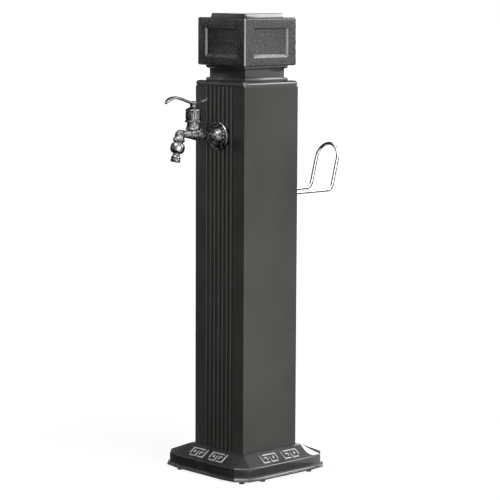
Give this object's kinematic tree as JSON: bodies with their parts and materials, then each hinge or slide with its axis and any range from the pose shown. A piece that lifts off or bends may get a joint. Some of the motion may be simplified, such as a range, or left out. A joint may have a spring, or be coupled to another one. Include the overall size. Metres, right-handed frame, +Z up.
{
  "type": "garden standpipe",
  "caption": "Square garden water column with a fluted front, key-patterned base, panelled cap, quarter-turn lever tap with a hose tail, and a wire hose hook behind.",
  "frame": {"origin": "on the column's axis at ground level, on the underside of the ground plate", "axes": "+Z up along the column, -Y towards the side of the tap, +Y towards the hose hook"},
  "size_m": [0.228, 0.4052, 0.824],
  "materials": {
    "coat": "semi-matt anthracite powder coat",
    "cast_coat": "grainy cast surface under anthracite coat",
    "bronze": "glossy black bronze finish on cast brass",
    "steel": "zinc plated",
    "chrome": "polished chrome",
    "brass": "machined brass",
    "pipe": "blue plastic water pipe",
    "plastic": "moulded plastic",
    "ceramic": "polished ceramic",
    "rubber": "matt black rubber"
  },
  "bodies": {
    "standpipe": {"column_tube": "coat", "collar_plate": "coat", "base_plinth": "coat", "neck_casting": "coat", "cap_box": "cast_coat", "cap_lid": "cast_coat", "wall_flange": "bronze", "tap_body": "bronze", "bonnet": "bronze", "ground_plate": "steel", "plate_screws": "steel", "collar_screws": "steel", "tie_rod": "steel", "tie_washer": "steel", "tie_nut": "steel", "elbow_screws": "steel", "hook_backplate": "steel", "hook_inner_nuts": "steel", "hose_hook": "chrome", "hook_washers": "chrome", "hook_outer_nuts": "chrome", "inlet_coupling": "brass", "inlet_nut": "brass", "inlet_olive": "brass", "riser_olive": "brass", "riser_nut": "brass", "wall_elbow": "brass", "cartridge_body": "brass", "riser_pipe": "pipe", "pipe_spacers": "plastic", "disc_fixed": "ceramic", "base_feet": "rubber", "seat_seal": "rubber"},
    "handle": {"lever": "bronze", "lever_screw": "bronze", "spindle": "steel", "spindle_rings": "rubber", "disc_moving": "ceramic"},
    "tail": {"hose_tail": "bronze", "union_washer": "rubber"},
    "nut": {"union_nut": "bronze"}
  },
  "joints": [
    {"name": "lever_turn", "type": "hinge", "parent": "standpipe", "child": "handle", "pos_m": [0, -0.127, 0.66], "axis": [0, 0, 1], "range_deg": [0, 90]},
    {"name": "tail_slide", "type": "slide", "parent": "standpipe", "child": "tail", "axis": [0, -0.225, -0.9744], "range_m": [0, 0.0081]},
    {"name": "union_turn", "type": "hinge", "parent": "tail", "child": "nut", "pos_m": [0, -0.158, 0.615], "axis": [0, -0.225, -0.9744], "range_deg": [0, 2160]}
  ],
  "couplings": [
    {"joint": "tail_slide", "follows": "union_turn", "m_per_rad": 0.00021279}
  ]
}
